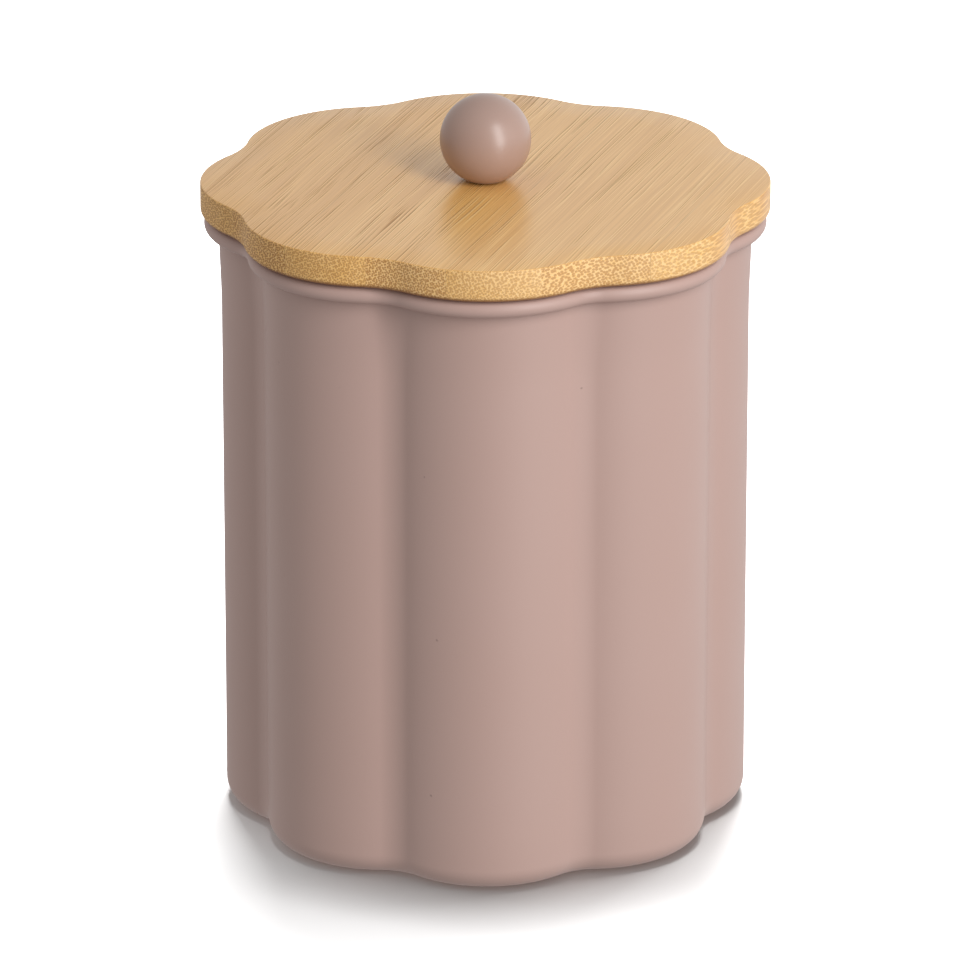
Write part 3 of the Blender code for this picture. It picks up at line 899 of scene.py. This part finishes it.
def zinc_plate():
    """Bright zinc over turned steel: rings about the axis in bump, clouds in colour and gloss."""
    material, tree, shader, place = new_material("bright_zinc_plate")
    turning = add_node(tree, "ShaderNodeTexWave",
                       {"Vector": place, "Scale": 2 * pi / (RADIANS_PER_UNIT * TURNING_PITCH),
                        "Distortion": 0.6, "Detail": 2}, wave_type='RINGS', rings_direction='Z')
    bloom = add_node(
        tree, "ShaderNodeTexNoise", {"Vector": place, "Scale": 1 / BLOOM_SIZE, "Detail": 3})
    plate = add_node(tree, "ShaderNodeMix",
                     {FACTOR: bloom, COLOUR_A: linear("B4B9BF"), COLOUR_B: linear("CDD0D2")},
                     data_type='RGBA').outputs[COLOUR_OUT]
    rings = add_node(
        tree, "ShaderNodeBump", {"Height": turning.outputs["Fac"], "Distance": RING_DEPTH})
    rough = add_node(tree, "ShaderNodeMapRange", {"Value": bloom, **span(0, 1, 0.24, 0.40)})
    feed(shader, {"Base Color": plate, "Roughness": rough, "Normal": rings, "Metallic": 1.0})
    return material


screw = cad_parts["knob_screw"]
screw.data.materials.clear()
screw.data.materials.append(zinc_plate())
for piece in (can, board, plug, seal, knob, screw):
    print(piece.name, "wears", piece.data.materials[0].name)

# %% [markdown]
# ## Floor and surroundings
#
# The jar stood on a white sweep, with a tall soft box in front to its right and darkness round the
# camera. A world of one colour would light every side alike and wash the shadows out. So the world
# here is six soft lights in one, like the walls of a room: each side has its own strength, and a
# direction sees a mixture of the sides that it leans towards. The shares are the squares of the
# direction's parts, because those always add up to one. Gloss sees a second room, turned by 45
# degrees: bright behind the jar at its right, where the lit sweep is, and dark in front at left.
# For the camera everything around is plain white.
#
# The floor is there for the camera alone. It neither shades nor lights the jar, since light from
# below is already in the rooms' lowest walls.

# %% Surroundings
ROOM = {"+X": 0.28, "-X": 0.72, "+Y": 0.50, "-Y": 0.12, "+Z": 0.58, "-Z": 0.55}
ROOM_IN_GLOSS = {"+X": 1.34, "-X": 0.06, "+Y": 0.58, "-Y": 0.50, "+Z": 0.20, "-Z": 0.20}
GLOSS_TURN = radians(45)  # of the second room: its +X wall is behind the jar at right


def room(tree, towards, walls, turn):
    """The strength seen in direction d: the sum over walls of wall * max(0, d . wall's axis)^2."""
    towards = add_node(
        tree, "ShaderNodeVectorRotate", {"Vector": towards, "Angle": -turn}, rotation_type='Z_AXIS')
    total = 0.0
    for sign, keep in (("+", 'MAXIMUM'), ("-", 'MINIMUM')):
        side = add_node(tree, "ShaderNodeVectorMath", {0: towards, 1: (0, 0, 0)}, operation=keep)
        share = add_node(tree, "ShaderNodeVectorMath", {0: side, 1: side}, operation='MULTIPLY')
        strengths = tuple(walls[sign + axis] for axis in "XYZ")
        part = add_node(tree, "ShaderNodeVectorMath", {0: share, 1: strengths},
                        operation='DOT_PRODUCT').outputs["Value"]
        total = add_node(tree, "ShaderNodeMath", {0: total, 1: part}, operation='ADD')
    return total


def add_world():
    """White to the camera and through glass, a room with uneven walls to everything else."""
    world = bpy.data.worlds.new("studio")
    world.use_nodes = True
    tree = world.node_tree
    tree.nodes.clear()
    towards = add_node(tree, "ShaderNodeTexCoord", {}).outputs["Generated"]
    path = add_node(tree, "ShaderNodeLightPath", {}).outputs
    seen = add_node(tree, "ShaderNodeMath",
                    {0: path["Is Camera Ray"], 1: path["Is Transmission Ray"]}, operation='MAXIMUM')
    lit = add_node(tree, "ShaderNodeMix",
                   {FACTOR: path["Is Glossy Ray"], VALUE_A: room(tree, towards, ROOM, 0),
                    VALUE_B: room(tree, towards, ROOM_IN_GLOSS, GLOSS_TURN)})
    strength = add_node(tree, "ShaderNodeMix", {FACTOR: seen, VALUE_A: lit, VALUE_B: 1.0})
    glow = add_node(tree, "ShaderNodeBackground", {"Color": (1, 1, 1, 1), "Strength": strength})
    add_node(tree, "ShaderNodeOutputWorld", {"Surface": glow})
    world.cycles.sampling_method = 'NONE'
    bpy.context.scene.world = world
    return world


print("world:", add_world().name)

# %% Floor
FLOOR_RADIUS = 4.0
FLOOR_POINTS = 96
FLOOR_COLOUR = (0.72, 0.72, 0.72, 1)


def add_floor():
    """A large disc at the height that the jar stands on, which only camera and lamps can see."""
    rim = FLOOR_RADIUS * np.exp(2j * pi * np.arange(FLOOR_POINTS) / FLOOR_POINTS)
    mesh = bpy.data.meshes.new("floor")
    mesh.from_pydata(at(rim, 0).reshape(-1, 3).tolist(), [], [list(range(FLOOR_POINTS))])
    floor = in_scene("floor", mesh)
    material = bpy.data.materials.new("white_floor")
    material.use_nodes = True
    tree = material.node_tree
    tree.nodes.clear()
    paper = add_node(tree, "ShaderNodeBsdfDiffuse", {"Color": FLOOR_COLOUR})
    add_node(tree, "ShaderNodeOutputMaterial", {"Surface": paper})
    mesh.materials.append(material)
    for rays in ("diffuse", "glossy", "transmission", "shadow"):
        setattr(floor, "visible_" + rays, False)
    return floor


floor = add_floor()
print("floor:", round(2 * FLOOR_RADIUS), "metres across")

# %% [markdown]
# ## Lamps
#
# The streak of light down the knob is tall and narrow, and so is the soft box that makes it: it
# stands nearly 38 degrees to the right of the camera and reaches from the table to far above the
# jar. A weaker one lights the jar's right side. The key alone would throw one long shadow to the
# left, but the photograph has a short one close round the foot. It was lit, or retouched, as if
# from above. So the floor has five lamps of its own, high over the jar and behind it, whose shadows
# add up to that one. Light linking keeps each lamp to what it is for: a lamp lights only the
# objects in its receiver collection.

# %% Hang the lamps
LAMP_DISTANCE = 1.3
SUBJECT = Vector((0, 0, 80 * MM))
KEY = (37, 24, 0.40, 1.30, 15.1)  # azimuth and elevation in degrees, width, height, watts
SIDE = (70, 20, 0.60, 0.90, 1.2)
FLOOR_LAMPS = (
    (180, 66.7, 0.40, 0.17, 28.2),
    (150, 74, 0.30, 0.30, 9.0),
    (110, 86, 0.20, 0.20, 8.4),
    (110, 72, 0.20, 0.20, 3.6),
    (250, 86, 0.20, 0.20, 8.0))


def receivers(name, objects):
    """A collection of the objects that a lamp may light."""
    collection = bpy.data.collections.new(name)
    for one in objects:
        collection.objects.link(one)
    return collection


def add_lamp(name, azimuth, elevation, width, height, watts, lit):
    """A soft box that faces the jar and lights only what is in the collection."""
    data = bpy.data.lights.new(name, 'AREA')
    data.shape = 'RECTANGLE'
    data.size, data.size_y, data.energy = width, height, watts
    lamp = in_scene(name, data)
    look_at(lamp, SUBJECT, LAMP_DISTANCE, radians(azimuth), radians(elevation))
    lamp.light_linking.receiver_collection = lit
    return lamp


only_jar = receivers("lit_by_soft_boxes", (can, board, plug, seal, knob, screw))
only_floor = receivers("lit_from_above", (floor,))
lamps = [add_lamp("key", *KEY, only_jar), add_lamp("side", *SIDE, only_jar)]
lamps += [add_lamp("above_floor", *sizes, only_floor) for sizes in FLOOR_LAMPS]
print("lamps:", [lamp.name for lamp in lamps])
bpy.context.scene.view_settings.view_transform = 'Standard'
